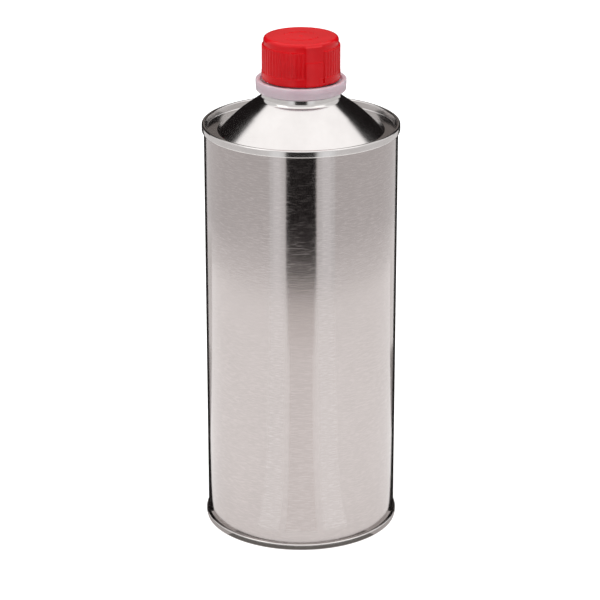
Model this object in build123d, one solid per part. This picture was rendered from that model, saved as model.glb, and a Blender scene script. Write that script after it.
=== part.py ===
from build123d import *
import math
import os

# Round tinplate can with a cone top, a snapped-on plastic spout and a push-and-turn screw cap.
# Millimetres, +Z up. The origin is the middle of the circle that the bottom seam stands on.
# Heights are above that circle unless their name says otherwise, and -Y is the front.

# Rolled and welded wall
body_radius = 42.72  # outside of the wall
rim_height = 187.4  # top of the upper seam
body_gauge = 0.25  # sheet thickness of the wall
weld_width = 0.8  # overlap of the two edges, at the back
weld_rise = 0.06  # how far the squeezed overlap stands out

# Double seams, where the ends are folded together with the wall
end_gauge = 0.28  # sheet thickness of the two ends
top_seam_height = 3.2
bottom_seam_height = 3.0
fold_gap = 0.03  # between neighbouring layers
compound_space = 0.25  # for the sealing compound over the wall's flange
compound_inset = 0.15  # from the middle of the wall's and the hook's sheet to the compound
hook_clearance = 0.25  # from the tip of a hook to the fold that it points into
seam_shoulder = 0.45  # bend at the two upper corners of a seam
fold_share = 0.48  # bend of a hairpin fold, as a share of the fold's width

# Cone top, measured along the middle of its sheet
countersink_depth = 3.05  # from the rim down to the flat ring
countersink_lean = 0.55  # how far the countersink's wall leans in
countersink_bend = 0.6
cone_foot_inset = 6.32  # from the wall's outside to the foot of the cone
cone_foot_bend = 1.6
cone_knee_run = 10.4  # foot to knee, inwards
cone_knee_rise = 8.65  # foot to knee, upwards
cone_knee_bend = 14.0
neck_radius = 17.7  # outside of the neck
neck_root_rise = 6.15  # knee to the root of the neck
neck_root_bend = 2.3
neck_rise = 17.72  # rim to the top of the neck's curl
curl_width = 0.86  # across the middle of the curled sheet
curl_height = 0.8
curl_bend = 0.36
curl_return = 0.5  # how far the curl's edge comes back towards the neck

# Bottom end, whose beads let it flex
bottom_countersink_depth = 3.4
bead_inset = 4.2  # from the wall's outside to the first step
bead_run = 1.4  # width of each sloping step
bead_step = 0.8  # height of each step
bead_spacing = 8.0  # flat between the two steps
bead_bend = 0.7

# Plastic pouring spout
collar_radius = 19.85
collar_rebate = 0.15  # the lower half of the collar is this much smaller
collar_height = 4.7  # from its lower corner to its top
collar_rebate_height = 2.2  # lower corner to the rebate
collar_bevel = 0.95  # height of the slanting underside
collar_over_curl = 2.38  # collar's top above the curl
snap_clearance = 0.06  # plastic to sheet round the curl
well_radius = 18.0  # dished top that the cap's skirt dips into
well_depth = 1.4
plug_length = 5.9  # below the curl, inside the neck
plug_wall = 1.2
spout_neck_radius = 12.9
spout_wall = 1.5
spout_height = 13.7  # above the collar
lip_round = 0.45

# Screw thread between the spout and the inner cap
thread_pitch = 3.6
thread_turns = 1.5
thread_depth = 1.05  # ridge height on the spout
thread_root = 1.6  # ridge width at its root
thread_crest = 0.7  # ridge width at its crest
thread_run_out = 1.6  # from the lip down to the top of the ridge
thread_play = 0.15  # radial and axial clearance
thread_sink = 0.3  # how deep a ridge's root is set into its wall

# Cap
liner_thickness = 0.9
inner_plate = 1.1
inner_wall = 1.1
inner_skirt_lift = 1.25  # inner cap's lower edge above the collar
shell_play = 0.25  # radial clearance between the two caps
push_travel = 1.1
push_spare = 0.1  # left between the lugs of one cap and the plate of the other when pushed home
lug_count = 8
lug_height = 0.7  # of the rings of lugs on the inner cap and under the outer cap
lug_span = 13.0  # degrees
lug_width = 3.4
shell_top = 1.2  # thickness of the outer cap's top
shell_lift = 0.2  # outer cap's lower edge above the collar
retainer_height = 0.85
retainer_bite = 0.25  # how far it reaches under the inner cap
shell_band_height = 3.5  # plain band at the bottom
shell_band_radius = 17.25
rib_count = 60
rib_radius = 17.15
rib_depth = 0.3
rib_height = 11.6
shell_head_radius = 16.45  # plain head above the ribs
shell_head_round = 1.5
shell_edge_round = 0.25

# Two bosses, opposite each other on the outer cap
boss_angles = (-70.2, 109.8)
boss_span = 25.6
boss_radius = 17.6
boss_height = 10.8
panel_radius = 17.2  # smoother part above the boss
panel_height = 7.1
boss_lip_span = 2.2  # upright lip along one side
boss_lip_rise = 0.12
slot_span = 3.5  # slot along the other side
slot_floor_radius = 16.6
slot_floor_lift = 1.5
stop_span = 5.4  # small block at the foot of the slot
stop_rise = 0.15
stop_height = 3.4

# Raised marks on top of the outer cap
mark_height = 0.2
nub_radius = 0.6
arrow_radius = 7.3
arrow_width = 1.0
arrow_span = 110.0
arrow_head_width = 2.6
arrow_head_span = 24.0


# Middles of the five layers of sheet in a double seam, from inside to outside
countersink_radius = body_radius - body_gauge - fold_gap - end_gauge / 2
wall_radius = body_radius - body_gauge / 2
cover_hook_radius = body_radius + fold_gap + end_gauge / 2
body_hook_radius = cover_hook_radius + end_gauge / 2 + fold_gap + body_gauge / 2
seam_wall_radius = body_hook_radius + body_gauge / 2 + fold_gap + end_gauge / 2
body_fold_depth = end_gauge + compound_space + body_gauge / 2
cover_hook_tip = body_fold_depth + body_gauge / 2 + hook_clearance

ring_height = rim_height - countersink_depth - end_gauge / 2
neck_middle_radius = neck_radius - end_gauge / 2
curl_top = rim_height + neck_rise
curl_radius = neck_middle_radius + curl_width + end_gauge / 2
collar_top = curl_top + collar_over_curl
lip_height = collar_top + spout_height
spout_bore_radius = spout_neck_radius - spout_wall

inner_bore_radius = spout_neck_radius + thread_depth + thread_play
inner_radius = inner_bore_radius + inner_wall
plate_bottom = lip_height + liner_thickness
plate_top = plate_bottom + inner_plate
inner_skirt_bottom = collar_top + inner_skirt_lift

shell_bore_radius = inner_radius + shell_play
shell_bottom = collar_top + shell_lift
shell_ceiling = plate_top + push_travel + push_spare + lug_height
shell_crown = shell_ceiling + shell_top
ribs_bottom = shell_bottom + shell_band_height
ribs_top = ribs_bottom + rib_height
boss_top = shell_bottom + boss_height


def bent_sheet(points, bends, gauge):
    """Turned sheet: corner points and bends of its middle line as (radius, height)."""
    middle = FilletPolyline(*points, radius=bends)
    return revolve(Plane.XZ * trace(middle, gauge), Axis.Z)


def turned(corners):
    """Turned solid from the (radius, height, corner round) of its section's corners."""
    points = [(radius, height) for radius, height, _ in corners]
    rounds = [corner_round for _, _, corner_round in corners]
    outline = FilletPolyline(*points, radius=rounds, close=True)
    return revolve(Plane.XZ * make_face(outline), Axis.Z)


def sector(inner, outer, bottom, top, middle_angle, span):
    """Block between two radii and two heights, over a span of degrees about an angle."""
    points = [(inner, bottom), (outer, bottom), (outer, top), (inner, top)]
    face = Plane.XZ * make_face(Polyline(*points, close=True))
    return Rot(Z=middle_angle - span / 2) * revolve(face, Axis.Z, span)


def seam_cover(seam_height):
    """Middle line of an end's folded edge as (radius, depth below the rim), and its bends."""
    fold = fold_share * (seam_wall_radius - cover_hook_radius)
    line = [
        (cover_hook_radius, cover_hook_tip),
        (cover_hook_radius, seam_height - end_gauge / 2),
        (seam_wall_radius, seam_height - end_gauge / 2),
        (seam_wall_radius, end_gauge / 2),
        (countersink_radius, end_gauge / 2),
    ]
    return line, [fold, fold, seam_shoulder, seam_shoulder]


def can_body():
    """Rolled wall with a flange hooked over at both ends and a welded overlap."""
    fold = fold_share * (body_hook_radius - wall_radius)
    bottom_fold = body_fold_depth
    top_fold = rim_height - body_fold_depth
    bottom_tip = bottom_seam_height - end_gauge - hook_clearance
    top_tip = rim_height - top_seam_height + end_gauge + hook_clearance
    points = [
        (body_hook_radius, bottom_tip),
        (body_hook_radius, bottom_fold),
        (wall_radius, bottom_fold),
        (wall_radius, top_fold),
        (body_hook_radius, top_fold),
        (body_hook_radius, top_tip),
    ]
    wall = bent_sheet(points, [fold] * 4, body_gauge)
    weld_bottom = bottom_seam_height + hook_clearance
    weld_top = rim_height - top_seam_height - hook_clearance
    weld_span = math.degrees(weld_width / body_radius)
    weld = sector(wall_radius, body_radius + weld_rise, weld_bottom, weld_top, 90, weld_span)
    return wall + weld


def bottom_end():
    """Bottom with its folded edge, countersink and two stepped beads."""
    line, bends = seam_cover(bottom_seam_height)
    ring = bottom_countersink_depth + end_gauge / 2
    first = body_radius - bead_inset
    second = first - bead_run - bead_spacing
    line += [
        (countersink_radius - countersink_lean, ring),
        (first, ring),
        (first - bead_run, ring - bead_step),
        (second, ring - bead_step),
        (second - bead_run, ring),
        (0, ring),
    ]
    bends += [countersink_bend] + [bead_bend] * 4
    return bent_sheet(line, bends, end_gauge)


def cone_top():
    """Drawn top: folded edge, countersink, flat ring, cone with a soft knee, curled neck."""
    line, bends = seam_cover(top_seam_height)
    line = [(radius, rim_height - depth) for radius, depth in line]
    foot = body_radius - cone_foot_inset
    knee = foot - cone_knee_run
    knee_height = ring_height + cone_knee_rise
    curl_middle_top = curl_top - end_gauge / 2
    curl_middle_radius = neck_middle_radius + curl_width
    line += [
        (countersink_radius - countersink_lean, ring_height),
        (foot, ring_height),
        (knee, knee_height),
        (neck_middle_radius, knee_height + neck_root_rise),
        (neck_middle_radius, curl_middle_top),
        (curl_middle_radius, curl_middle_top),
        (curl_middle_radius, curl_middle_top - curl_height),
        (curl_middle_radius - curl_return, curl_middle_top - curl_height),
    ]
    bends += [countersink_bend, cone_foot_bend, cone_knee_bend, neck_root_bend]
    bends += [curl_bend] * 3
    return bent_sheet(line, bends, end_gauge)


def seam_compound(rim, inwards):
    """Ring of sealing compound over the wall's flange; inwards is +1 or -1 along Z."""
    spare = (compound_space - 2 * fold_gap) / 2
    middle = rim + inwards * (end_gauge + compound_space / 2)
    low, high = middle - spare, middle + spare
    inner = wall_radius + compound_inset
    outer = body_hook_radius - compound_inset
    return turned([(inner, low, 0), (outer, low, 0), (outer, high, 0), (inner, high, 0)])


def thread_ridge(root_radius, crest_radius, first_height):
    """Right-hand ridge whose trapezoid section's root is set into the wall it stands on."""
    inwards = math.copysign(thread_sink, root_radius - crest_radius)
    points = [
        (root_radius + inwards, first_height - thread_root / 2),
        (root_radius, first_height - thread_root / 2),
        (crest_radius, first_height - thread_crest / 2),
        (crest_radius, first_height + thread_crest / 2),
        (root_radius, first_height + thread_root / 2),
        (root_radius + inwards, first_height + thread_root / 2),
    ]
    section = Plane.XZ * make_face(Polyline(*points, close=True))
    rise = thread_pitch * thread_turns
    path = Helix(thread_pitch, rise, root_radius, center=(0, 0, first_height))
    return sweep(section, path=path, is_frenet=True)


def spout_thread_start():
    """Height of the spout's ridge at its lower end."""
    return lip_height - thread_run_out - thread_pitch * thread_turns


def pouring_spout():
    """Collar snapped over the neck's curl, sealing plug inside it, and threaded spout."""
    seat = curl_top + snap_clearance
    corner = collar_top - collar_height
    lower_radius = collar_radius - collar_rebate
    bead_radius = neck_radius + snap_clearance
    bead_top = curl_top - end_gauge - curl_height - 2 * snap_clearance
    pocket_radius = curl_radius + snap_clearance
    plug_radius = neck_radius - end_gauge - snap_clearance
    plug_bottom = curl_top - plug_length
    bevel_run = collar_rebate + 1.5
    corners = [
        (spout_bore_radius, seat, 0.3),
        (spout_bore_radius, lip_height, lip_round),
        (spout_neck_radius, lip_height, lip_round),
        (spout_neck_radius, collar_top - well_depth, 0.5),
        (well_radius, collar_top - well_depth, 0.3),
        (well_radius, collar_top, 0.3),
        (collar_radius, collar_top, 0.35),
        (collar_radius, corner + collar_rebate_height, 0.05),
        (lower_radius, corner + collar_rebate_height, 0.05),
        (lower_radius, corner, 0.2),
        (lower_radius - bevel_run, corner - collar_bevel, 0.15),
        (bead_radius, corner - collar_bevel, 0.1),
        (bead_radius, bead_top, 0.1),
        (pocket_radius, bead_top, 0.1),
        (pocket_radius, seat, 0.3),
        (plug_radius, seat, 0.2),
        (plug_radius, plug_bottom, 0.4),
        (plug_radius - plug_wall, plug_bottom, 0.4),
        (plug_radius - plug_wall, seat, 0.3),
    ]
    crest = spout_neck_radius + thread_depth
    return turned(corners) + thread_ridge(spout_neck_radius, crest, spout_thread_start())


def cap_liner():
    """Foam disc that the inner cap presses on the spout's lip."""
    radius = inner_bore_radius - thread_play
    return turned(
        [
            (0, lip_height, 0),
            (radius, lip_height, 0.1),
            (radius, plate_bottom, 0.1),
            (0, plate_bottom, 0),
        ]
    )


def lug_ring(bottom, top, first_angle):
    """Ring of drive lugs near the edge of the inner cap's plate."""
    outer = inner_radius - 0.5
    step = 360 / lug_count
    lugs = [
        sector(outer - lug_width, outer, bottom, top, first_angle + step * number, lug_span)
        for number in range(lug_count)
    ]
    return Part() + lugs


def inner_cap():
    """Threaded cap that seals the spout, with lugs on top that the outer cap drives."""
    shell = turned(
        [
            (0, plate_top, 0),
            (inner_radius, plate_top, 0.4),
            (inner_radius, inner_skirt_bottom, 0.2),
            (inner_bore_radius, inner_skirt_bottom, 0.2),
            (inner_bore_radius, plate_bottom, 0.1),
            (0, plate_bottom, 0),
        ]
    )
    crest = spout_neck_radius + thread_play
    half_widths = (thread_root + thread_crest) / 2
    first = spout_thread_start() - half_widths - thread_play
    ridge = thread_ridge(inner_bore_radius, crest, first)
    return shell + ridge + lug_ring(plate_top - 0.1, plate_top + lug_height, 0)


def rib_ring():
    """Upright ribs round the outer cap, as one toothed ring."""
    step = 2 * math.pi / rib_count
    valley = rib_radius - rib_depth
    outline = []
    for number in range(rib_count):
        for share, radius in ((-0.34, valley), (-0.2, rib_radius), (0.2, rib_radius), (0.34, valley)):
            angle = step * (number + share)
            outline.append((radius * math.cos(angle), radius * math.sin(angle)))
    toothed = make_face(Polyline(*outline, close=True)) - Circle(shell_head_radius - 0.2)
    return Pos(Z=ribs_bottom - 0.1) * extrude(toothed, rib_height + 0.1)


def boss(angle):
    """Raised boss with a smoother panel above it, an upright lip and a small stop block."""
    inner = shell_bore_radius + 0.1
    left = angle - boss_span / 2
    right = angle + boss_span / 2
    pad = sector(inner, boss_radius, shell_bottom, boss_top, angle, boss_span)
    panel_top = boss_top + panel_height
    panel = sector(inner, panel_radius, boss_top - 0.1, panel_top, angle, boss_span)
    lip_radius = boss_radius + boss_lip_rise
    lip_middle = left + boss_lip_span / 2
    lip = sector(inner, lip_radius, ribs_bottom, boss_top, lip_middle, boss_lip_span)
    stop_radius = boss_radius + stop_rise
    stop_middle = right - stop_span / 2
    stop_top = shell_bottom + stop_height
    stop = sector(inner, stop_radius, shell_bottom + 0.3, stop_top, stop_middle, stop_span)
    return pad + panel + lip + stop


def boss_slot(angle):
    """Slot beside a boss, from above its panel down to near the cap's lower edge."""
    middle = angle + (boss_span + slot_span) / 2
    floor = shell_bottom + slot_floor_lift
    return sector(slot_floor_radius, boss_radius + 1, floor, shell_crown, middle, slot_span)


def turning_arrow(first_angle):
    """Curved arrow standing on the cap's top, pointing the way that opens it."""
    bottom = shell_crown - 0.1
    top = shell_crown + mark_height
    inner = arrow_radius - arrow_width / 2
    outer = arrow_radius + arrow_width / 2
    shaft = sector(inner, outer, bottom, top, first_angle + arrow_span / 2, arrow_span)
    start = math.radians(first_angle + arrow_span)
    tip = math.radians(first_angle + arrow_span + arrow_head_span)
    points = []
    for angle, radius in (
        (start, arrow_radius - arrow_head_width / 2),
        (start, arrow_radius + arrow_head_width / 2),
        (tip, arrow_radius),
    ):
        points.append((radius * math.cos(angle), radius * math.sin(angle)))
    head = Pos(Z=bottom) * extrude(make_face(Polyline(*points, close=True)), top - bottom)
    return shaft + head


def outer_cap():
    """Ribbed shell that is pressed down to drive the inner cap."""
    valley = rib_radius - rib_depth
    retainer_top = shell_bottom + retainer_height
    retainer_radius = inner_radius - retainer_bite
    shell = turned(
        [
            (0, shell_crown, 0),
            (shell_head_radius, shell_crown, shell_head_round),
            (shell_head_radius, ribs_top, 0.15),
            (valley, ribs_top, 0.1),
            (valley, ribs_bottom, 0.1),
            (shell_band_radius, ribs_bottom, 0.1),
            (shell_band_radius, shell_bottom, shell_edge_round),
            (retainer_radius, shell_bottom, shell_edge_round),
            (retainer_radius, retainer_top, 0.1),
            (shell_bore_radius, retainer_top, 0.1),
            (shell_bore_radius, shell_ceiling, 0.8),
            (0, shell_ceiling, 0),
        ]
    )
    half_step = 180 / lug_count
    lugs = lug_ring(shell_ceiling - lug_height, shell_ceiling + 0.1, half_step)
    cap = shell + rib_ring() + lugs
    for angle in boss_angles:
        cap = cap + boss(angle)
        cap = cap - boss_slot(angle)
    nub = Pos(Z=shell_crown) * Cylinder(nub_radius, 2 * mark_height)
    return cap + nub + turning_arrow(35) + turning_arrow(215)


pieces = {
    "can_body": can_body(),
    "bottom_end": bottom_end(),
    "cone_top": cone_top(),
    "bottom_seam_compound": seam_compound(0, 1),
    "top_seam_compound": seam_compound(rim_height, -1),
    "pouring_spout": pouring_spout(),
    "cap_liner": cap_liner(),
    "inner_cap": inner_cap(),
    "outer_cap": outer_cap(),
}

os.makedirs("parts", exist_ok=True)
for name, piece in pieces.items():
    export_step(piece, f"parts/{name}.step")
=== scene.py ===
import bpy
import math
import numpy as np
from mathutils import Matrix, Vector


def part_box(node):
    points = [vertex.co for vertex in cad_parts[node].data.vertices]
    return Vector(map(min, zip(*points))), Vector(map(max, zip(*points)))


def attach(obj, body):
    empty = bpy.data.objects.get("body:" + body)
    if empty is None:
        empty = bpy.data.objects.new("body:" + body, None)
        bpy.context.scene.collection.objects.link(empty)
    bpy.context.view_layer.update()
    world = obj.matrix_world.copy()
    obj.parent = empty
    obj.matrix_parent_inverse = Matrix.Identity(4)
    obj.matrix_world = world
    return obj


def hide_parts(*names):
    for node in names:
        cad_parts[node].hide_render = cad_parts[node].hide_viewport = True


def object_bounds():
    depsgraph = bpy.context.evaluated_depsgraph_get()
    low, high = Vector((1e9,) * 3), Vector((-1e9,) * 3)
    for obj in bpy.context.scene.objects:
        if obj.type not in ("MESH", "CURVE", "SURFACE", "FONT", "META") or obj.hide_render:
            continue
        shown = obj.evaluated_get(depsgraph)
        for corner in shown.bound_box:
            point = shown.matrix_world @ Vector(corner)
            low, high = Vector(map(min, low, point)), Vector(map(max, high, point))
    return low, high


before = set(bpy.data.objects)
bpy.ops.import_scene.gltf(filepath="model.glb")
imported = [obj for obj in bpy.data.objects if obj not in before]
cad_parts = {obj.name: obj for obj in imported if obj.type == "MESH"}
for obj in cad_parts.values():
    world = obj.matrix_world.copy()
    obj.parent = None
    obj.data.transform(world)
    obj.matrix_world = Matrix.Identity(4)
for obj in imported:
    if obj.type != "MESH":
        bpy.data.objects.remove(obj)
cadLow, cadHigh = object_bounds()
print("frame loaded")

# Lengths in the dictionaries are millimetres and angles are degrees, and -Y is the front. Only the
# noise scales, bumps and subsurface lengths of the materials and the lamps go by the metre.
metre = 1000.0
nearAxis = 0.02  # rows of a disc stop this far from the axis, and a fan closes the rest
evenAngles = np.linspace(0, 2 * math.pi, 384, endpoint=False)


def smoothStep(value, low, high):
    # 0 below low, 1 above high, 3t^2 - 2t^3 in between
    t = np.clip((value - low) / (high - low), 0, 1)
    return t * t * (3 - 2 * t)


def between(value, low, high, soft):
    # 1 from low to high, fading to 0 over soft on the outside
    return smoothStep(value, low - soft, low) * (1 - smoothStep(value, high, high + soft))


def degreesOff(angle, middle):
    # signed distance from middle, from -180 to 180
    return (np.degrees(angle) - middle + 180) % 360 - 180


def roundedLine(corners, arcSteps=6):
    # corners are (radius, height, bend): each becomes an arc tangent to its two straight runs,
    # with its centre on the bisector, bend / sin(half the angle between them) away
    points = np.array([c[:2] for c in corners], float)
    line = [points[:1]]
    for i in range(1, len(corners) - 1):
        bend = corners[i][2]
        before = points[i - 1] - points[i]
        after = points[i + 1] - points[i]
        before /= np.linalg.norm(before)
        after /= np.linalg.norm(after)
        opening = math.acos(np.clip(before @ after, -1, 1))
        if bend <= 0 or opening > math.pi - 1e-3:
            line.append(points[i:i + 1])
            continue
        reach = bend / math.tan(opening / 2)
        bisector = before + after
        centre = points[i] + bisector / np.linalg.norm(bisector) * bend / math.sin(opening / 2)
        first = math.atan2(*(points[i] + before * reach - centre)[::-1])
        last = math.atan2(*(points[i] + after * reach - centre)[::-1])
        swing = (last - first + math.pi) % (2 * math.pi) - math.pi
        steps = int(arcSteps * abs(swing) / 1.6) + 2  # 1.6 radians is about a quarter turn
        turn = first + swing * np.linspace(0, 1, steps)
        line.append(centre + bend * np.stack([np.cos(turn), np.sin(turn)], 1))
    line.append(points[-1:])
    return np.concatenate(line)


def closedSection(corners):
    # the same for a closed outline, which starts and ends in the middle of its last run
    middle = (*((np.array(corners[0][:2]) + np.array(corners[-1][:2])) / 2), 0)
    return roundedLine([middle, *corners, middle])[:-1]


def sheetSides(corners, gauge):
    # middle line of a bent sheet, moved half the gauge to each side along its normal
    line = roundedLine(corners)
    run = np.gradient(line, axis=0)
    run /= np.linalg.norm(run, axis=1)[:, None]
    side = np.stack([-run[:, 1], run[:, 0]], 1) * gauge / 2
    return line + side, line - side


def meshFromGrid(x, y, z, wrapRows, wrapColumns, capLow=False, capHigh=False):
    # a grid of points joined row by row into quads; a capped end is closed with a fan to one point
    rows, columns = x.shape
    points = np.stack([x, y, z], -1).reshape(-1, 3) / metre
    index = np.arange(rows * columns).reshape(rows, columns)
    down = np.concatenate([index, index[:1]]) if wrapRows else index
    grid = np.concatenate([down, down[:, :1]], 1) if wrapColumns else down
    quads = np.stack([grid[:-1, :-1], grid[:-1, 1:], grid[1:, 1:], grid[1:, :-1]], -1)
    faces = quads.reshape(-1, 4).tolist()
    for wanted, row in ((capLow, grid[0][::-1]), (capHigh, grid[-1])):
        if wanted:
            pole = len(points)
            points = np.concatenate([points, points[row[:-1]].mean(0)[None]])
            faces += np.stack([row[:-1], row[1:], np.full(len(row) - 1, pole)], -1).tolist()
    return points, faces


def signedVolume(points, faces):
    # sum of a . (b x c) / 6 over the triangles
    quads = np.array([f for f in faces if len(f) == 4]).reshape(-1, 4).astype(int)
    tris = np.array([f for f in faces if len(f) == 3]).reshape(-1, 3).astype(int)
    tris = np.concatenate([tris, quads[:, [0, 1, 2]], quads[:, [0, 2, 3]]])
    a, b, c = points[tris[:, 0]], points[tris[:, 1]], points[tris[:, 2]]
    return float(np.einsum("ij,ij->i", a, np.cross(b, c)).sum() / 6)


def makePiece(name, shapes, body, node, material, sharp=35):
    # shapes are (points, faces) of closed surfaces, each turned so that its faces point outwards
    allPoints, allFaces, shift = [], [], 0
    for points, faces in shapes:
        if signedVolume(points, faces) < 0:
            faces = [f[::-1] for f in faces]
        allPoints.append(points)
        allFaces += [[v + shift for v in f] for f in faces]
        shift += len(points)
    mesh = bpy.data.meshes.new(name)
    mesh.from_pydata(np.concatenate(allPoints).tolist(), [], allFaces)
    mesh.validate()
    mesh.polygons.foreach_set("use_smooth", [True] * len(mesh.polygons))
    mesh.set_sharp_from_angle(angle=math.radians(sharp))
    mesh.materials.append(material)
    piece = bpy.data.objects.new(name, mesh)
    bpy.context.scene.collection.objects.link(piece)
    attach(piece, body)
    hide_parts(node)
    print(name, len(mesh.polygons), "faces")


def turned(section, angles=evenAngles, closed=True, swell=None):
    # section points (radius, height) carried round Z: x = r cos a, y = r sin a; swell adds to r
    radius = np.repeat(section[:, :1], len(angles), 1)
    height = np.repeat(section[:, 1:], len(angles), 1)
    if swell:
        radius = radius + swell(angles, radius, height)
    return meshFromGrid(radius * np.cos(angles), radius * np.sin(angles), height, closed, True,
                        not closed, not closed)


def bentSheet(corners, gauge, **options):
    # a ring of sheet is a closed loop of both its sides; a disc's loop is left open at the axis
    left, right = sheetSides(corners, gauge)
    if corners[-1][0] > 0:
        return turned(np.concatenate([left, right[::-1]]), **options)
    left[-1, 0] = right[-1, 0] = nearAxis
    return turned(np.concatenate([left[::-1], right])[::-1], closed=False, **options)


def addNode(nodes, kind, values=None, **options):
    # options are the node's own settings, values go to its sockets
    node = nodes.new(kind)
    for key, value in options.items():
        setattr(node, key, value)
    for socket, value in (values or {}).items():
        node.inputs[socket].default_value = value
    return node


def newMaterial(name, settings):
    material = bpy.data.materials.new(name)
    material.use_nodes = True
    nodes, links = material.node_tree.nodes, material.node_tree.links
    shader = nodes["Principled BSDF"]
    for socket, value in settings.items():
        shader.inputs[socket].default_value = value
    place = nodes.new("ShaderNodeTexCoord").outputs["Object"]
    return material, nodes, links, shader, place


def noiseAt(nodes, links, place, scale, detail=3, roughness=0.5, stretch=(1, 1, 1)):
    # fractal noise on Object coordinates that are stretched first
    mapping = addNode(nodes, "ShaderNodeMapping", {"Scale": stretch})
    links.new(place, mapping.inputs["Vector"])
    noise = addNode(nodes, "ShaderNodeTexNoise", {
        "Scale": scale, "Detail": detail, "Roughness": roughness,
    })
    links.new(mapping.outputs["Vector"], noise.inputs["Vector"])
    return noise.outputs["Fac"]


def remap(nodes, links, source, fromLow, fromHigh, toLow, toHigh):
    node = addNode(nodes, "ShaderNodeMapRange", {1: fromLow, 2: fromHigh, 3: toLow, 4: toHigh})
    links.new(source, node.inputs[0])
    return node.outputs[0]


def mathOn(nodes, links, operation, first, second=None, **options):
    node = addNode(nodes, "ShaderNodeMath", operation=operation, **options)
    for socket, value in ((0, first), (1, second)):
        if isinstance(value, (int, float)):
            node.inputs[socket].default_value = value
        elif value is not None:
            links.new(value, node.inputs[socket])
    return node.outputs[0]


def mixColour(nodes, links, factor, first, second):
    node = addNode(nodes, "ShaderNodeMix", data_type="RGBA")
    for socket, value in (("A", first), ("B", second)):
        if isinstance(value, tuple):
            node.inputs[socket].default_value = (*value, 1)
        else:
            links.new(value, node.inputs[socket])
    links.new(factor, node.inputs["Factor"])
    return node.outputs["Result"]


def bumpFrom(nodes, links, shader, height, distance):
    bump = addNode(nodes, "ShaderNodeBump", {"Strength": 1.0, "Distance": distance})
    links.new(height, bump.inputs["Height"])
    links.new(bump.outputs["Normal"], shader.inputs["Normal"])


toneRange = (0.35, 0.65)  # part of a noise over which a colour changes from dark to light
roughRange = (0.3, 0.7)  # and a roughness from low to high

tinplate = {
    # the wall's two tones are a darker copy of the ends' tinplate: painted shade for the upright wall, which
    # catches less of the overhead light than the ends
    "wallLight": (0.436, 0.397, 0.386), "wallDark": (0.413, 0.376, 0.365),
    "wallRoughness": 0.118, "wallSpread": 0.02, "anisotropy": 0.5,
    "cloudScale": 26, "cloudTall": 0.6, "grainScale": 340, "grainFlat": 8, "grainBump": 0.0000065,
    "scratch": (0.52, 0.475, 0.465), "scratchTone": 0.5, "scratchRoughness": 0.055,
    "toneFrom": 0.45, "roughFrom": 0.52, "grainPeak": 0.7,
    "stripe": {"colour": (0.44, 0.39, 0.33), "width": 7.0, "fade": (0.4, 0.0), "cover": 0.75},
    "weld": {"colour": (0.2, 0.21, 0.25), "width": 1.0, "fade": (0.2, 0.3), "cover": 0.9},
    "stripeRoughness": 0.14,
    "endLight": (0.60, 0.575, 0.565), "endDark": (0.56, 0.535, 0.525),
    "endRoughness": 0.15, "endSpread": 0.03, "endBump": 0.0000015,
    "endGrainScale": 160, "endGrainStretch": (1, 10, 3), "endCloudScale": 70,
}


def lineBehind(nodes, links, place, line):
    # cover where |x| is within half the line's width, falling to 0 across its edge, where y > 0
    split = nodes.new("ShaderNodeSeparateXYZ")
    links.new(place, split.inputs[0])
    off = mathOn(nodes, links, "ABSOLUTE", split.outputs["X"])
    behind = mathOn(nodes, links, "GREATER_THAN", split.outputs["Y"], 0.0)
    edge = line["width"] / 2
    inside, outside = line["fade"]
    cover = remap(nodes, links, off, (edge - inside) / metre, (edge + outside) / metre, line["cover"], 0)
    return mathOn(nodes, links, "MULTIPLY", cover, behind)


def tinplateWall():
    # short flat streaks of rolling grain tilt the surface and roughen it in scratches; the highlight
    # is stretched along Z; at the back runs a lacquered stripe with the darker line of the weld in it
    m, nodes, links, shader, place = newMaterial("tinplateWall", {
        "Metallic": 1.0, "Anisotropic": tinplate["anisotropy"],
    })
    grain = noiseAt(nodes, links, place, tinplate["grainScale"], 2, 0.4, (1, 1, tinplate["grainFlat"]))
    cloud = noiseAt(nodes, links, place, tinplate["cloudScale"], 4, 0.6, (1, 1, tinplate["cloudTall"]))
    mottle = remap(nodes, links, cloud, *toneRange, 0, 1)
    clean = mixColour(nodes, links, mottle, tinplate["wallDark"], tinplate["wallLight"])
    peak = tinplate["grainPeak"]
    dashes = remap(nodes, links, grain, tinplate["toneFrom"], peak, 0, tinplate["scratchTone"])
    bare = mixColour(nodes, links, dashes, clean, tinplate["scratch"])
    stripe = lineBehind(nodes, links, place, tinplate["stripe"])
    seamLine = lineBehind(nodes, links, place, tinplate["weld"])
    lacquered = mixColour(nodes, links, stripe, bare, tinplate["stripe"]["colour"])
    welded = mixColour(nodes, links, seamLine, lacquered, tinplate["weld"]["colour"])
    links.new(welded, shader.inputs["Base Color"])
    middle, spread = tinplate["wallRoughness"], tinplate["wallSpread"]
    rough = remap(nodes, links, cloud, *roughRange, middle - spread, middle + spread)
    scratches = remap(nodes, links, grain, tinplate["roughFrom"], peak, 0, tinplate["scratchRoughness"])
    coated = mathOn(nodes, links, "MULTIPLY", stripe, tinplate["stripeRoughness"])
    rougher = mathOn(nodes, links, "MAXIMUM", scratches, coated)
    links.new(mathOn(nodes, links, "ADD", rough, rougher), shader.inputs["Roughness"])
    upright = addNode(nodes, "ShaderNodeCombineXYZ", {"X": 0, "Y": 0, "Z": 1})
    links.new(upright.outputs[0], shader.inputs["Tangent"])
    bumpFrom(nodes, links, shader, grain, tinplate["grainBump"])
    return m


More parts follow.
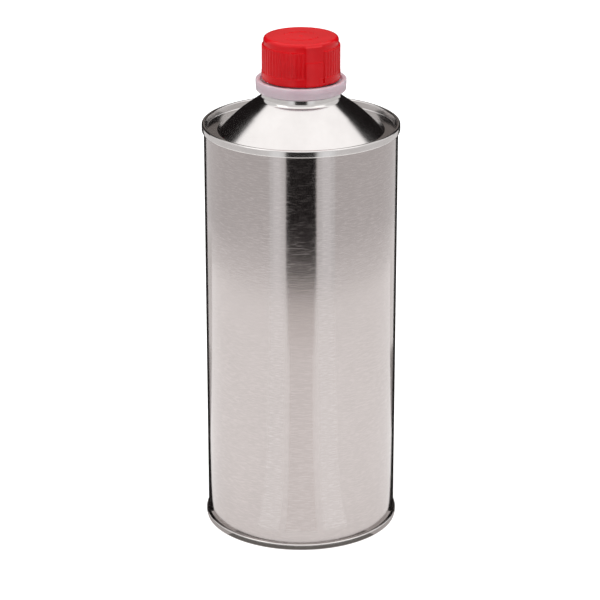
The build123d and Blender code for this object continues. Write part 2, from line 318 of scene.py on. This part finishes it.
def tinplateEnds():
    # the drawn ends keep the straight grain of the sheet, along X, and are faintly clouded
    m, nodes, links, shader, place = newMaterial("tinplateEnds", {"Metallic": 1.0})
    grain = noiseAt(nodes, links, place, tinplate["endGrainScale"], 2, 0.5, tinplate["endGrainStretch"])
    cloud = noiseAt(nodes, links, place, tinplate["endCloudScale"], 4, 0.6)
    tone = remap(nodes, links, cloud, *toneRange, 0, 1)
    colour = mixColour(nodes, links, tone, tinplate["endDark"], tinplate["endLight"])
    links.new(colour, shader.inputs["Base Color"])
    middle, spread = tinplate["endRoughness"], tinplate["endSpread"]
    rough = remap(nodes, links, cloud, *roughRange, middle - spread, middle + spread)
    links.new(rough, shader.inputs["Roughness"])
    bumpFrom(nodes, links, shader, grain, tinplate["endBump"])
    return m


def plastic(name, look):
    # clouded colour, fine noise in the roughness and a shallow orange-peel bump
    m, nodes, links, shader, place = newMaterial(name, look["shader"])
    cloud = noiseAt(nodes, links, place, look["cloudScale"])
    fine = noiseAt(nodes, links, place, look["fineScale"])
    tone = remap(nodes, links, cloud, *toneRange, 0, 1)
    links.new(mixColour(nodes, links, tone, look["dark"], look["light"]), shader.inputs["Base Color"])
    links.new(remap(nodes, links, fine, *roughRange, *look["roughness"]), shader.inputs["Roughness"])
    bumpFrom(nodes, links, shader, fine, look["bump"])
    return m


capLook = {
    "dark": (0.72, 0.002, 0.007), "light": (0.80, 0.004, 0.010), "roughness": (0.19, 0.23),
    "cloudScale": 70, "fineScale": 450, "bump": 0.000003,
    "shader": {"IOR": 1.49, "Specular IOR Level": 0.22},
}
# both tones are the milky plastic's own pale colour with painted glow from the red cap mixed in as pink
spoutLook = {
    "dark": (0.92, 0.66, 0.74), "light": (0.98, 0.72, 0.80), "roughness": (0.3, 0.4),
    "cloudScale": 120, "fineScale": 500, "bump": 0.000005,
    "shader": {"IOR": 1.5, "Transmission Weight": 0.15, "Subsurface Weight": 0.6,
               "Subsurface Radius": (1.0, 0.7, 0.75), "Subsurface Scale": 0.004},
}
innerLook = {
    "dark": (0.72, 0.71, 0.68), "light": (0.80, 0.79, 0.77), "roughness": (0.36, 0.46),
    "cloudScale": 90, "fineScale": 700, "bump": 0.000008,
    "shader": {"IOR": 1.49, "Subsurface Weight": 0.2, "Subsurface Radius": (1.0, 0.9, 0.8),
               "Subsurface Scale": 0.001},
}
foamLook = {
    "dark": (0.76, 0.76, 0.73), "light": (0.86, 0.86, 0.84), "roughness": (0.65, 0.85),
    "cloudScale": 300, "fineScale": 2200, "bump": 0.00005, "shader": {"IOR": 1.45},
}
compoundLook = {
    "dark": (0.42, 0.39, 0.33), "light": (0.5, 0.47, 0.4), "roughness": (0.5, 0.7),
    "cloudScale": 200, "fineScale": 1500, "bump": 0.00003, "shader": {"IOR": 1.5},
}
wallMetal, endMetal = tinplateWall(), tinplateEnds()
print("materials made")

seam = {
    "gauge": 0.28, "wallGauge": 0.25, "gap": 0.03, "compoundSpace": 0.25, "hookClearance": 0.25,
    "topHeight": 3.2, "bottomHeight": 3.0, "shoulder": 0.45, "foldShare": 0.48,
}
half = seam["gauge"] / 2
halfWall = seam["wallGauge"] / 2
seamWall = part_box("cone_top")[1].x * metre - half
bodyHook = seamWall - half - seam["gap"] - halfWall
coverHook = bodyHook - halfWall - seam["gap"] - half
wall = coverHook - half - seam["gap"] - halfWall
countersink = wall - halfWall - seam["gap"] - half
foldDepth = seam["gauge"] + seam["compoundSpace"] + halfWall
coverTip = foldDepth + halfWall + seam["hookClearance"]

top = {
    "countersinkDepth": 3.05, "lean": 0.55, "countersinkBend": 0.6,
    "footInset": 6.32, "footBend": 1.6, "kneeRun": 10.4, "kneeRise": 8.65, "kneeBend": 14.0,
    "neckRadius": 17.7, "neckRootRise": 6.15, "neckRootBend": 2.3,
    "curlWidth": 0.86, "curlHeight": 0.8, "curlBend": 0.36, "curlReturn": 0.5,
}
coneLow, coneHigh = (v.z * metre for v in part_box("cone_top"))
ringHeight = coneLow + half
rim = ringHeight + half + top["countersinkDepth"]


def seamCover(height):
    # the end's share of a double seam, as (radius, depth, bend)
    fold = seam["foldShare"] * (seamWall - coverHook)
    return [
        (coverHook, coverTip, 0), (coverHook, height - half, fold), (seamWall, height - half, fold),
        (seamWall, half, seam["shoulder"]), (countersink, half, seam["shoulder"]),
    ]


def coneTop():
    # seam, countersink, flat ring, cone with a soft knee, neck and curl: one bent line carried round Z
    foot = wall + halfWall - top["footInset"]
    knee = foot - top["kneeRun"]
    kneeHeight = ringHeight + top["kneeRise"]
    neck = top["neckRadius"] - half
    curlTop = coneHigh - half
    curl = neck + top["curlWidth"]
    corners = [(radius, rim - depth, bend) for radius, depth, bend in seamCover(seam["topHeight"])]
    corners += [
        (countersink - top["lean"], ringHeight, top["countersinkBend"]),
        (foot, ringHeight, top["footBend"]),
        (knee, kneeHeight, top["kneeBend"]),
        (neck, kneeHeight + top["neckRootRise"], top["neckRootBend"]),
        (neck, curlTop, top["curlBend"]), (curl, curlTop, top["curlBend"]),
        (curl, curlTop - top["curlHeight"], top["curlBend"]),
        (curl - top["curlReturn"], curlTop - top["curlHeight"], 0),
    ]
    return bentSheet(corners, seam["gauge"])


weld = {
    "width": 0.8, "rise": 0.06, "angle": 90.0, "edge": 0.15, "endGap": 1.0, "endFade": 0.4,
    "firstRow": 0.8, "rowStep": 0.4, "columns": 23, "columnReach": 0.014, "clearReach": 0.02,
}  # the two reaches are radians


def weldSwell(angles, radius, height):
    # the squeezed overlap stands out of the wall's outer side, between the two seams: the rise times a
    # band across the weld times a band along the height
    off = np.abs(degreesOff(angles, weld["angle"])) * math.pi / 180 * wall
    across = 1 - smoothStep(off, weld["width"] / 2 - weld["edge"], weld["width"] / 2)
    low = seam["bottomHeight"] + weld["endGap"]
    along = between(height, low, rim - seam["topHeight"] - weld["endGap"], weld["endFade"])
    return weld["rise"] * across * along * ((radius > wall) & (radius < wall + seam["wallGauge"]))


def canBody():
    # straight wall with a hooked flange at each end, one bent line carried round Z; columns crowd at
    # the weld, which swells it
    fold = seam["foldShare"] * (bodyHook - wall)
    lowTip = seam["bottomHeight"] - seam["gauge"] - seam["hookClearance"]
    highTip = rim - seam["topHeight"] + seam["gauge"] + seam["hookClearance"]
    low = seam["bottomHeight"] + weld["firstRow"]
    high = rim - seam["topHeight"] - weld["firstRow"]
    step = weld["rowStep"]
    middle, reach = math.radians(weld["angle"]), weld["columnReach"]
    clear = np.abs(evenAngles - middle) > weld["clearReach"]
    columns = middle + np.linspace(-reach, reach, weld["columns"])
    angles = np.concatenate([evenAngles[clear], columns])
    corners = [(bodyHook, lowTip, 0), (bodyHook, foldDepth, fold), (wall, foldDepth, fold)]
    corners += [(wall, level, 0) for level in (low, low + step, high - step, high)]
    corners += [(wall, rim - foldDepth, fold), (bodyHook, rim - foldDepth, fold), (bodyHook, highTip, 0)]
    return bentSheet(corners, seam["wallGauge"], angles=np.sort(angles), swell=weldSwell)


bottom = {
    "depth": 3.4, "beadInset": 4.2, "beadRun": 1.4, "beadStep": 0.8, "beadSpacing": 8.0, "beadBend": 0.7,
}


def bottomEnd():
    # seam, countersink and a panel with a shallow round channel: one bent line carried round Z
    ring = bottom["depth"] + half
    low = ring - bottom["beadStep"]
    first = wall + halfWall - bottom["beadInset"]
    second = first - bottom["beadRun"] - bottom["beadSpacing"]
    bend = bottom["beadBend"]
    return bentSheet(seamCover(seam["bottomHeight"]) + [
        (countersink - top["lean"], ring, top["countersinkBend"]), (first, ring, bend),
        (first - bottom["beadRun"], low, bend), (second, low, bend),
        (second - bottom["beadRun"], ring, bend), (0, ring, 0),
    ], seam["gauge"])


makePiece("rolledWall", [canBody()], "can", "can_body", wallMetal)
makePiece("drawnTop", [coneTop()], "can", "cone_top", endMetal)
makePiece("drawnBottom", [bottomEnd()], "can", "bottom_end", endMetal)

screw = {
    "pitch": 3.6, "turns": 1.5, "depth": 1.05, "root": 1.6, "crest": 0.7, "runOut": 1.6, "play": 0.15,
    "sink": 0.3, "fade": 0.12, "shoulder": 0.85, "shoulderWidth": 0.25, "tipWidth": 0.35,
}


def thread(rootRadius, crestRadius, firstHeight, steps=96):
    # trapezoid section carried up a right-hand helix, height = first + pitch * turns * t; it rises out
    # of its wall and sinks back into it over the first and last part of the way
    t = np.linspace(0, 1, int(steps * screw["turns"]) + 1)[:, None]
    angle = 2 * math.pi * screw["turns"] * t
    fade = smoothStep(t, 0, screw["fade"]) * (1 - smoothStep(t, 1 - screw["fade"], 1))
    depth = crestRadius - rootRadius
    sunk = math.copysign(screw["sink"], -depth)
    shoulder, share, tip = screw["shoulder"] * depth, screw["shoulderWidth"], screw["tipWidth"]
    out = np.array([sunk, 0, shoulder, depth, depth, shoulder, 0, sunk])
    side = np.array([-0.5, -0.5, -0.5, -0.5, 0.5, 0.5, 0.5, 0.5])
    width = screw["crest"] + (screw["root"] - screw["crest"]) * np.array([1, 1, share, 0, 0, share, 1, 1])
    radius = rootRadius + np.where(out * depth > 0, sunk + (out - sunk) * fade, out)
    height = firstHeight + screw["pitch"] * screw["turns"] * t + side * width * (tip + (1 - tip) * fade)
    return meshFromGrid(radius * np.cos(angle), radius * np.sin(angle), height, False, True, True, True)


spout = {
    "rebate": 0.15, "collarHeight": 4.7, "rebateHeight": 2.2, "bevel": 0.95, "bevelRun": 1.65,
    "overCurl": 2.38, "snap": 0.06, "wellRadius": 18.0, "wellDepth": 1.4, "plugWall": 1.2,
    "neck": 12.9, "wall": 1.5, "lipRound": 0.45,
}
spoutLow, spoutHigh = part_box("pouring_spout")
lip = spoutHigh.z * metre
collar = spoutHigh.x * metre
collarTop = coneHigh + spout["overCurl"]
threadStart = lip - screw["runOut"] - screw["pitch"] * screw["turns"]


def pouringSpout():
    # neck and lip, dished collar, snap pocket round the curl, and sealing plug: one closed outline,
    # with each corner's own bend last, carried round Z
    seat = coneHigh + spout["snap"]
    corner = collarTop - spout["collarHeight"]
    rebate = corner + spout["rebateHeight"]
    lower = collar - spout["rebate"]
    bead = top["neckRadius"] + spout["snap"]
    beadTop = coneHigh - seam["gauge"] - top["curlHeight"] - 2 * spout["snap"]
    pocket = top["neckRadius"] + top["curlWidth"] + spout["snap"]
    plug = top["neckRadius"] - seam["gauge"] - spout["snap"]
    plugLow = spoutLow.z * metre
    bore = spout["neck"] - spout["wall"]
    well = collarTop - spout["wellDepth"]
    return turned(closedSection([
        (bore, seat, 0.3), (bore, lip, spout["lipRound"]), (spout["neck"], lip, spout["lipRound"]),
        (spout["neck"], well, 0.5), (spout["wellRadius"], well, 0.3), (spout["wellRadius"], collarTop, 0.3),
        (collar, collarTop, 0.35), (collar, rebate, 0.05), (lower, rebate, 0.05), (lower, corner, 0.2),
        (lower - spout["bevelRun"], corner - spout["bevel"], 0.15), (bead, corner - spout["bevel"], 0.08),
        (bead, beadTop, 0.1), (pocket, beadTop, 0.1), (pocket, seat, 0.3), (plug, seat, 0.2),
        (plug, plugLow, 0.4), (plug - spout["plugWall"], plugLow, 0.4), (plug - spout["plugWall"], seat, 0.3),
    ]))


spoutThread = thread(spout["neck"], spout["neck"] + screw["depth"], threadStart)
makePiece("spoutMoulding", [pouringSpout(), spoutThread], "can", "pouring_spout",
          plastic("naturalPlasticPaintedPinkGlow", spoutLook))

inner = {
    "wall": 1.1, "plate": 1.1, "liner": 0.9, "lugs": 8, "lugHeight": 0.7, "lugSpan": 13.0,
    "lugWidth": 3.4, "lugInset": 0.5, "soft": 0.12, "softAngle": 0.5, "plateRows": 1.2,
}
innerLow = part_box("inner_cap")[0].z * metre
innerBore = spout["neck"] + screw["depth"] + screw["play"]
innerRadius = innerBore + inner["wall"]
plateTop = lip + inner["liner"] + inner["plate"]
lugOuter = innerRadius - inner["lugInset"]
lugInner = lugOuter - inner["lugWidth"]


def lugMask(angle, radius, shift):
    # 1 on each lug: a band of radii times a repeating band of angles
    step = 360 / inner["lugs"]
    off = np.abs((np.degrees(angle) - shift + step / 2) % step - step / 2)
    ring = between(radius, lugInner, lugOuter - inner["soft"], inner["soft"])
    return ring * (1 - smoothStep(off, inner["lugSpan"] / 2 - inner["softAngle"], inner["lugSpan"] / 2))


def innerCap(steps=480):
    # rows run over the plate, down the outside and back up the bore; height = row + lug height * lugMask
    soft, apart = inner["soft"], inner["plateRows"]
    plateRadii = np.array([nearAxis, 3, 6, 9, lugInner - soft, lugInner, lugInner + apart,
                           lugOuter - apart, lugOuter - soft, lugOuter])
    rest = roundedLine([
        (lugOuter, plateTop, 0), (innerRadius, plateTop, 0.3), (innerRadius, innerLow, 0.2),
        (innerBore, innerLow, 0.2), (innerBore, plateTop - inner["plate"], 0.1),
        (nearAxis, plateTop - inner["plate"], 0),
    ])[1:]
    line = np.concatenate([np.stack([plateRadii, np.full(len(plateRadii), plateTop)], 1), rest])
    angle = np.linspace(0, 2 * math.pi, steps, endpoint=False)
    radius = np.repeat(line[:, :1], steps, 1)
    height = np.repeat(line[:, 1:], steps, 1)
    onPlate = np.arange(len(line))[:, None] < len(plateRadii)
    height = height + inner["lugHeight"] * lugMask(angle, radius, 0) * onPlate
    return meshFromGrid(radius * np.cos(angle), radius * np.sin(angle), height, False, True, True, True)


crestRadius = spout["neck"] + screw["play"]
seatBelow = (screw["root"] + screw["crest"]) / 2 + screw["play"]
innerThread = thread(innerBore, crestRadius, threadStart - seatBelow)
makePiece("threadedCap", [innerCap(), innerThread], "inner_cap", "inner_cap",
          plastic("innerPlastic", innerLook))

shell = {
    "bandHeight": 3.5, "bandRadius": 17.25, "bandStep": 0.15, "headStep": 0.12,
    "ribs": 60, "ribRadius": 17.15, "ribDepth": 0.3, "ribFlank": (0.2, 0.34), "ribHeight": 11.6,
    "headRadius": 16.45, "headRound": 1.5, "edgeRound": 0.25, "play": 0.25, "ceilingPlay": 0.05,
    "retainerHeight": 0.85, "retainerBite": 0.25, "topThickness": 1.2,
    "markHeight": 0.2, "nubRadius": 0.6, "ringRadius": 14.0, "ringWidth": 0.5, "ringRise": 0.06,
    "ringSoft": 0.25,
}
boss = {
    "angles": (-70.2, 109.8), "span": 25.6, "radius": 17.6, "height": 10.8, "panelRadius": 17.2,
    "panelHeight": 7.1, "padStep": 0.2, "panelStep": 0.6, "lipSpan": 2.2, "lipRise": 0.12,
    "slotSpan": 3.5, "slotFloor": 16.6, "slotLift": 1.5, "slotStep": 0.3, "stopSpan": 5.4, "stopRise": 0.15,
    "stopHeight": 3.4, "stopLift": 0.4, "edge": 0.5, "softAcross": 0.3, "softUp": 0.2,
}
arrow = {
    "starts": (35, 215), "radius": 7.3, "width": 1.0, "span": 110.0, "headWidth": 2.6, "headSpan": 24.0,
    "soft": 0.1, "softAngle": 1.0,
}
shellLow, shellHigh = (v.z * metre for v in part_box("outer_cap"))
crown = shellHigh - shell["markHeight"]
ceiling = crown - shell["topThickness"]
ribsLow = shellLow + shell["bandHeight"]
ribsHigh = ribsLow + shell["ribHeight"]
bossTop = shellLow + boss["height"]
panelTop = bossTop + boss["panelHeight"]


def shellSide(angle, height):
    # radius of the cap's side: band, toothed ribs and plain head by height; each boss replaces it with
    # its pad below and its panel above, plus lip and stop; the slot beside it goes down to its floor
    valley = shell["ribRadius"] - shell["ribDepth"]
    tooth = np.abs((np.degrees(angle) * shell["ribs"] / 360) % 1 - 0.5)
    ribbed = valley + shell["ribDepth"] * (1 - smoothStep(tooth, *shell["ribFlank"]))
    step = shell["bandStep"]
    overBand = smoothStep(height, ribsLow - step, ribsLow + step)
    radius = shell["bandRadius"] + (ribbed - shell["bandRadius"]) * overBand
    step = shell["headStep"]
    radius = radius + (shell["headRadius"] - radius) * smoothStep(height, ribsHigh - step, ribsHigh + step)
    right = boss["span"] / 2
    across, up = boss["softAcross"], boss["softUp"]
    for middle in boss["angles"]:
        off = degreesOff(angle, middle)
        inside = between(off, -right, right, boss["edge"])
        overPad = smoothStep(height, bossTop - boss["padStep"], bossTop)
        overPanel = smoothStep(height, panelTop - boss["panelStep"], panelTop)
        pad = boss["radius"] - (boss["radius"] - boss["panelRadius"]) * overPad
        pad = pad - (boss["panelRadius"] - shell["headRadius"]) * overPanel
        raised = boss["lipRise"] * between(off, -right, -right + boss["lipSpan"], across)
        raised = raised * between(height, ribsLow, bossTop - boss["padStep"], up)
        stop = boss["stopRise"] * between(off, right - boss["stopSpan"], right, across)
        stop = stop * between(height, shellLow + boss["stopLift"], shellLow + boss["stopHeight"], up)
        radius = radius + np.maximum(pad + raised + stop - radius, 0) * inside
        slot = between(off, right + boss["edge"], right + boss["slotSpan"], across)
        slotLow = shellLow + boss["slotLift"]
        slot = slot * smoothStep(height, slotLow - boss["slotStep"], slotLow)
        radius = radius + np.minimum(boss["slotFloor"] - radius, 0) * slot
    return radius


def topMarks(angle, radius):
    # 1 on the raised marks: the round nub in the middle and two curved arrows, each a band of radii
    # times a band of angles, with a head whose half width falls to 0 at its tip
    soft = arrow["soft"]
    mark = 1 - smoothStep(radius, shell["nubRadius"], shell["nubRadius"] + soft)
    half, tip = arrow["width"] / 2, arrow["span"] + arrow["headSpan"]
    for start in arrow["starts"]:
        along = (np.degrees(angle) - start) % 360
        shaft = between(radius, arrow["radius"] - half, arrow["radius"] + half, soft)
        shaft = shaft * between(along, arrow["softAngle"], arrow["span"], arrow["softAngle"])
        headHalf = arrow["headWidth"] / 2 * np.clip((tip - along) / arrow["headSpan"], 0, 1)
        head = 1 - smoothStep(np.abs(radius - arrow["radius"]), headHalf - soft, headHalf + soft)
        head = head * between(along, arrow["span"], tip, arrow["softAngle"])
        mark = np.maximum(mark, np.maximum(shaft, head))
    return mark


def outerCap(steps=720):
    # rows run from the middle of the top, over the corner and down the side, round the lower edge,
    # up the bore and under the ceiling to the middle again, and crowd together at each step:
    # height = crown + marks on top, radius = shellSide on the side, height = ceiling - lugs below
    angle = np.linspace(0, 2 * math.pi, steps, endpoint=False)

    def rows(values):
        return np.repeat(np.asarray(values, float)[:, None], steps, 1)

    flat = shell["headRadius"] - shell["headRound"]
    plateRadius = rows(np.concatenate([
        [nearAxis, 0.3, 0.6, 0.72, 2.5, 4.5], np.linspace(5.8, 8.8, 25),
        [10.5, 12.5, 13.3], np.linspace(13.4, 14.6, 9), [flat],
    ]))
    ring = between(plateRadius, shell["ringRadius"] - shell["ringWidth"] / 2,
                   shell["ringRadius"] + shell["ringWidth"] / 2, shell["ringSoft"])
    plateHeight = crown + shell["markHeight"] * topMarks(angle, plateRadius) + shell["ringRise"] * ring
    turn = np.linspace(math.pi / 2, 0, 9)[1:]
    cornerHeight = rows(crown - shell["headRound"] * (1 - np.sin(turn)))
    grown = shellSide(angle, cornerHeight) - shell["headRadius"]
    cornerRadius = rows(flat + shell["headRound"] * np.cos(turn)) + grown
    sideHeight = rows(np.concatenate([
        np.linspace(crown - shell["headRound"] - 0.2, ribsHigh + 0.15, 4),
        ribsHigh + np.array([0.08, 0.0, -0.08, -0.15]), np.linspace(ribsHigh - 1, bossTop + 0.2, 4),
        bossTop - np.array([0.0, 0.07, 0.14, 0.2, 0.4]), np.linspace(bossTop - 1, ribsLow + 0.6, 4),
        ribsLow + np.array([0.2, 0.1, 0.0, -0.1, -0.2]),
        shellLow + np.array([3.0, 2.4, 1.7, 1.5, 1.35, 1.2, 0.7, 0.5, 0.4, 0.3]),
    ]))
    sideRadius = shellSide(angle, sideHeight)
    edge = shell["edgeRound"]
    turn = np.linspace(0, math.pi / 2, 5)[1:]
    edgeHeight = rows(shellLow + edge - edge * np.sin(turn))
    edgeRadius = sideRadius[-1:] - edge * (1 - rows(np.cos(turn)))
    bore = innerRadius + shell["play"]
    retainer = innerRadius - shell["retainerBite"]
    ledge = shellLow + shell["retainerHeight"]
    inside = roundedLine([
        (retainer + 1.0, shellLow, 0), (retainer, shellLow, edge), (retainer, ledge, 0.1),
        (bore, ledge, 0.1), (bore, ceiling, 0.8), (lugOuter + shell["ceilingPlay"], ceiling, 0),
    ])
    soft, apart = inner["soft"], inner["plateRows"]
    under = rows([lugOuter - soft, lugOuter - apart, lugInner + apart, lugInner, lugInner - soft,
                  9, 6, 3, nearAxis])
    underHeight = ceiling - inner["lugHeight"] * lugMask(angle, under, 180 / inner["lugs"])
    radius = np.concatenate([plateRadius, cornerRadius, sideRadius, edgeRadius,
                             rows(inside[:, 0]), under])
    height = np.concatenate([plateHeight, cornerHeight, sideHeight, edgeHeight,
                             rows(inside[:, 1]), underHeight])
    return meshFromGrid(radius * np.cos(angle), radius * np.sin(angle), height, False, True, True, True)


makePiece("ribbedShell", [outerCap()], "outer_cap", "outer_cap",
          plastic("capPlastic", capLook))

# the liner and the two compound rings keep their CAD shape
compound = plastic("sealingCompound", compoundLook)
for node, material in (("cap_liner", plastic("linerFoam", foamLook)), ("bottom_seam_compound", compound),
                       ("top_seam_compound", compound)):
    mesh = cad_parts[node].data
    mesh.materials.clear()
    mesh.materials.append(material)

studio = {
    "floorGlow": 0.66, "floorColour": (0.8, 0.8, 0.8), "floorReach": 6000, "ambient": 0.45,
    "overhead": {"place": (0, -0.15, 1.25), "size": 2.2, "power": 9.0},
    "crown": {"place": (0, 0.1, 1.2), "size": 0.9, "power": 2.6, "reflected": False},
    "left": {"place": (-1.0, -0.6, 0.9), "size": 0.7, "power": 1.8},
    "right": {"place": (1.0, -0.6, 0.9), "size": 0.7, "power": 1.0},
}


def lightPathSum(nodes, links, *rays):
    # 1 for any of the named kinds of ray
    path = nodes.new("ShaderNodeLightPath")
    total = path.outputs[rays[0]]
    for ray in rays[1:]:
        total = mathOn(nodes, links, "ADD", total, path.outputs[ray], use_clamp=True)
    return total


def glowMaterial(name, colour, diffuse=None):
    # light of its own, over a diffuse floor that keeps the shadow if diffuse is given
    m = bpy.data.materials.new(name)
    m.use_nodes = True
    nodes, links = m.node_tree.nodes, m.node_tree.links
    nodes.clear()
    out = nodes.new("ShaderNodeOutputMaterial")
    glow = addNode(nodes, "ShaderNodeEmission", {"Color": (*colour, 1), "Strength": 1.0})
    if diffuse is None:
        links.new(glow.outputs[0], out.inputs["Surface"])
        return m
    seen = lightPathSum(nodes, links, "Is Camera Ray", "Is Glossy Ray", "Is Transmission Ray")
    links.new(remap(nodes, links, seen, 0, 1, 0, studio["floorGlow"]), glow.inputs["Strength"])
    paint = addNode(nodes, "ShaderNodeBsdfDiffuse", {"Color": (*diffuse, 1)})
    add = nodes.new("ShaderNodeAddShader")
    links.new(paint.outputs[0], add.inputs[0])
    links.new(glow.outputs[0], add.inputs[1])
    links.new(add.outputs[0], out.inputs["Surface"])
    return m


def stageStrip(name, firstEdge, secondEdge, material, reflectedOnly=True):
    # a strip of quads between two edges; a reflected card is seen by glossy rays alone
    count = len(firstEdge)
    mesh = bpy.data.meshes.new(name)
    points = np.concatenate([firstEdge, secondEdge]) / metre
    faces = [[i, i + 1, i + 1 + count, i + count] for i in range(count - 1)]
    mesh.from_pydata(points.tolist(), [], faces)
    mesh.materials.append(material)
    card = bpy.data.objects.new(name, mesh)
    bpy.context.scene.collection.objects.link(card)
    if reflectedOnly:
        card.visible_camera = card.visible_diffuse = card.visible_shadow = card.visible_transmission = False


def arcEdge(middle, spread, radius, height, apex=0.0):
    # x = r sin a, y = apex - r cos a, with a counted from the front
    angle = np.radians(middle + np.linspace(-spread, spread, 49))
    return np.stack([radius * np.sin(angle), apex - radius * np.cos(angle), np.full(49, height)], 1)


def floorCard(name, colour, middle, spread, near, far, lift, apex=0.0):
    # level sector round the apex, from the near radius to the far one
    edges = [arcEdge(middle, spread, radius, ground + lift, apex) for radius in (near, far)]
    stageStrip(name, *edges, glowMaterial(name, colour))


def uprightCard(name, colour, middle, spread, radius, lowAngle, highAngle):
    # part of a cylinder: height = rim + r tan e, between two angles of elevation
    edges = [arcEdge(middle, spread, radius, rim + radius * math.tan(math.radians(elevation)))
             for elevation in (lowAngle, highAngle)]
    stageStrip(name, *edges, glowMaterial(name, colour))


ground = cadLow.z * metre
reach = studio["floorReach"]
floorEdges = [np.array([(-reach, y, ground), (reach, y, ground)], float) for y in (-reach, reach)]
paleFloor = glowMaterial("paleFloor", (1, 1, 1), studio["floorColour"])
stageStrip("floor", *floorEdges, paleFloor, reflectedOnly=False)

# the metal shows what lies round it: a white floor that falls off, a dark strip in front with a
# bright one on each side of it, dark behind, and shades under the edges
white = 375  # radius of the white part of the floor
dim = white + 60
black = (0.012, 0.01, 0.01)
nearStrip, softStrip, edgeStrip = (1.45, 1.46, 1.46), (1.0, 1.02, 1.03), (1.13, 1.15, 1.17)
# name: colour, middle from the front, half the spread, near radius, far radius, lift[, apex]
floorCards = {
    "midFloor": ((1.08, 1.07, 1.07), 0, 180, white, dim, 0.5),
    "farFloor": ((0.86, 0.85, 0.85), 0, 180, dim, 3000, 0.6),
    "leftNear": (nearStrip, -27, 9, 60, white, 0.6),
    "leftSoft": (softStrip, -27, 9, white + 5, 1500, 0.9),
    "leftStrip": (edgeStrip, -27, 4.5, white + 10, 1500, 1.1),
    "rightNear": (nearStrip, 29, 10, 60, white, 0.6),
    "rightSoft": (softStrip, 29, 10, white + 5, 1500, 0.9),
    "rightStrip": (edgeStrip, 29, 5, white + 10, 1500, 1.1),
    "frontDark": (black, 0.2, 17, white + 5, 2500, 1.3),
    "frontSoft": ((1.3, 1.28, 1.27), 0.2, 13, 60, white - 85, 0.6),
    "frontFade": ((1.14, 1.1, 1.08), 0.2, 15, white - 85, white + 5, 0.6),
    "rearDark": (black, 180, 27, 104, 1500, 1.3, -100),
    "leftShade": ((0.62, 0.6, 0.59), -142, 12, 47, 230, 0.9),
    "leftOuter": ((0.88, 0.86, 0.85), -142, 12, 230, 420, 0.9),
    "rightShade": ((0.42, 0.4, 0.39), 142, 12, 47, 230, 0.9),
    "rightOuter": ((1.08, 1.06, 1.05), 142, 12, 230, 420, 0.9),
    "footShade": ((0.55, 0.52, 0.51), 0, 100, 43.8, 49.6, 0.3),
    "frontShade": ((0.2, 0.19, 0.18), 0, 50, 43.8, 49.6, 0.35),
}
# name: colour, middle, half the spread, radius, lowest and highest elevation seen from the rim
uprightCards = {
    "horizon": (black, 182.5, 54.5, 900, -11, 38),
    "backGap": ((0.2, 0.18, 0.17), 180, 9, 880, 6, 38),
}
for name, card in floorCards.items():
    floorCard(name, *card)
for name, card in uprightCards.items():
    uprightCard(name, *card)


def areaLight(name, spec, aim=(0, 0, 0.12)):
    # a square lamp turned to the middle of the can
    data = bpy.data.lights.new(name, "AREA")
    data.shape = "SQUARE"
    data.size = spec["size"]
    data.energy = spec["power"]
    lamp = bpy.data.objects.new(name, data)
    lamp.location = spec["place"]
    lamp.visible_glossy = spec.get("reflected", True)
    lamp.rotation_euler = (Vector(aim) - Vector(spec["place"])).to_track_quat("-Z", "Y").to_euler()
    bpy.context.scene.collection.objects.link(lamp)


for name in ("overhead", "crown", "left", "right"):
    areaLight(name, studio[name])


def paleWorld():
    # white behind the object and in reflections, softer as a light
    world = bpy.data.worlds.new("paleWorld")
    world.use_nodes = True
    nodes, links = world.node_tree.nodes, world.node_tree.links
    background = nodes["Background"]
    background.inputs["Color"].default_value = (1, 1, 1, 1)
    seen = lightPathSum(nodes, links, "Is Camera Ray", "Is Glossy Ray", "Is Transmission Ray")
    links.new(remap(nodes, links, seen, 0, 1, studio["ambient"], 1.0), background.inputs["Strength"])
    bpy.context.scene.world = world


paleWorld()

view = {"distance": 1053.6, "height": 500.44, "tilt": 20.626, "lens": 149.88, "shift": -0.00167}
cameraData = bpy.data.cameras.new("camera")
cameraData.lens = view["lens"]
cameraData.shift_x = view["shift"]
camera = bpy.data.objects.new("camera", cameraData)
camera.location = (0, -view["distance"] / metre, view["height"] / metre)
camera.rotation_euler = (math.radians(90 - view["tilt"]), 0, 0)
bpy.context.scene.collection.objects.link(camera)
bpy.context.scene.camera = camera
bpy.context.scene.view_settings.view_transform = "Standard"
print("studio and camera made")
